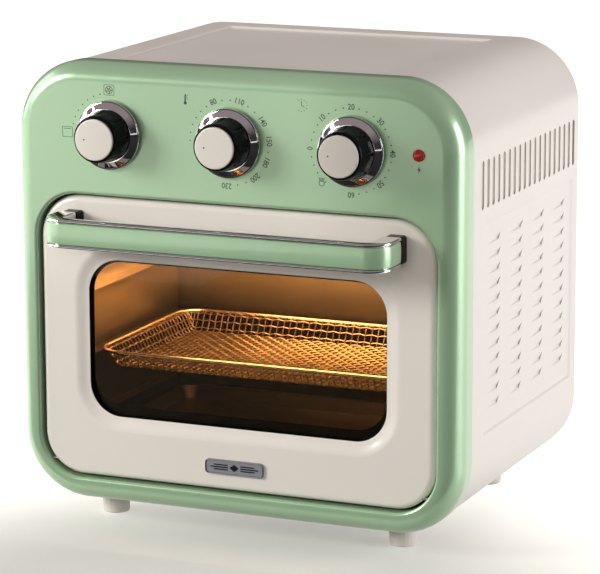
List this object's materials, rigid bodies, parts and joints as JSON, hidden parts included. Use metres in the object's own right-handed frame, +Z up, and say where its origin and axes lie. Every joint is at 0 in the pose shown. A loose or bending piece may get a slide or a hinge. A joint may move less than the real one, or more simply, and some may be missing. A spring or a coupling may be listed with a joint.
{
  "type": "toaster oven",
  "caption": "Countertop toaster oven: drop-down glazed door with bar handle, three control knobs, wire basket, rounded front frame, vented casing on feet.",
  "frame": {"origin": "on the table under the middle of the whole object, handle included", "axes": "+X to the right seen from the front, +Y to the back, +Z up; the door and the knobs look along -Y"},
  "size_m": [0.33, 0.2858, 0.327],
  "materials": {
    "sage_enamel": "gloss",
    "cream_enamel": "satin",
    "door_enamel": "satin",
    "cream_plastic": "satin",
    "chrome_plate": "polished",
    "black_plastic": "gloss",
    "galvanised_steel": "mill finish",
    "cavity_steel": "bright",
    "basket_wire": "warm plated wire",
    "zinc_screw": "plated",
    "glass": "clear",
    "silicone": "matte",
    "heater_sheath": "oxidised",
    "pewter": "cast, plated",
    "phenolic": "moulded",
    "red_lens": "clear red",
    "neon_bulb": "clear"
  },
  "bodies": {
    "oven": {"front_frame": "sage_enamel", "casing_shell": "cream_enamel", "base_plate": "galvanised_steel", "rear_panel": "cream_enamel", "cord_gland": "black_plastic", "cavity_liner": "cavity_steel", "rack_rail_left": "cavity_steel", "rack_rail_right": "cavity_steel", "crumb_tray": "cavity_steel", "heater_guard": "cavity_steel", "heater_coil": "heater_sheath", "fan_motor": "galvanised_steel", "motor_bracket": "galvanised_steel", "hinge_bracket_left": "galvanised_steel", "hinge_bracket_right": "galvanised_steel", "control_bracket": "galvanised_steel", "mode_switch": "phenolic", "thermostat": "phenolic", "timer_unit": "phenolic", "timer_bell": "galvanised_steel", "indicator_lens": "red_lens", "indicator_lamp": "neon_bulb", "foot_front_left": "cream_plastic", "foot_front_right": "cream_plastic", "foot_rear_left": "cream_plastic", "foot_rear_right": "cream_plastic", "rear_screw_lower_left": "zinc_screw", "rear_screw_lower_right": "zinc_screw", "rear_screw_upper_left": "zinc_screw", "rear_screw_upper_right": "zinc_screw"},
    "door": {"door_skin": "door_enamel", "door_glass": "glass", "door_inner_frame": "cavity_steel", "door_gasket": "silicone", "hinge_pin_left": "galvanised_steel", "hinge_pin_right": "galvanised_steel", "handle_bar": "chrome_plate", "handle_band": "sage_enamel", "handle_mount_left": "black_plastic", "handle_mount_right": "black_plastic", "handle_screw_left": "zinc_screw", "handle_screw_right": "zinc_screw", "badge_plate": "pewter"},
    "basket": {"wire_basket": "basket_wire"},
    "fan": {"fan_shaft": "galvanised_steel", "fan_blade": "cavity_steel"},
    "function_knob": {"function_spindle": "galvanised_steel", "function_skirt": "chrome_plate", "function_grip": "black_plastic", "function_cap": "cream_plastic"},
    "temperature_knob": {"temperature_spindle": "galvanised_steel", "temperature_skirt": "chrome_plate", "temperature_grip": "black_plastic", "temperature_cap": "cream_plastic"},
    "timer_knob": {"timer_spindle": "galvanised_steel", "timer_skirt": "chrome_plate", "timer_grip": "black_plastic", "timer_cap": "cream_plastic"}
  },
  "joints": [
    {"name": "door_hinge", "type": "hinge", "parent": "oven", "child": "door", "pos_m": [0, -0.09915, 0.0441], "axis": [1, 0, 0], "range_deg": [0, 85]},
    {"name": "basket_slide", "type": "slide", "parent": "oven", "child": "basket", "axis": [0, -1, 0], "range_m": [0, 0.1]},
    {"name": "function_turn", "type": "hinge", "parent": "oven", "child": "function_knob", "pos_m": [-0.0906, -0.10445, 0.2785], "axis": [0, 1, 0], "range_deg": [0, 90]},
    {"name": "temperature_turn", "type": "hinge", "parent": "oven", "child": "temperature_knob", "pos_m": [-0.0011, -0.10445, 0.2785], "axis": [0, 1, 0], "range_deg": [0, 270]},
    {"name": "timer_turn", "type": "hinge", "parent": "oven", "child": "timer_knob", "pos_m": [0.0884, -0.10445, 0.2785], "axis": [0, 1, 0], "range_deg": [-45, 270]},
    {"name": "fan_spin", "type": "hinge", "parent": "oven", "child": "fan", "pos_m": [0, 0.00055, 0.226], "axis": [0, 0, 1], "continuous": true}
  ],
  "couplings": [
    {"joint": "basket_slide", "follows": "door_hinge", "m_per_rad": 0.06701}
  ]
}
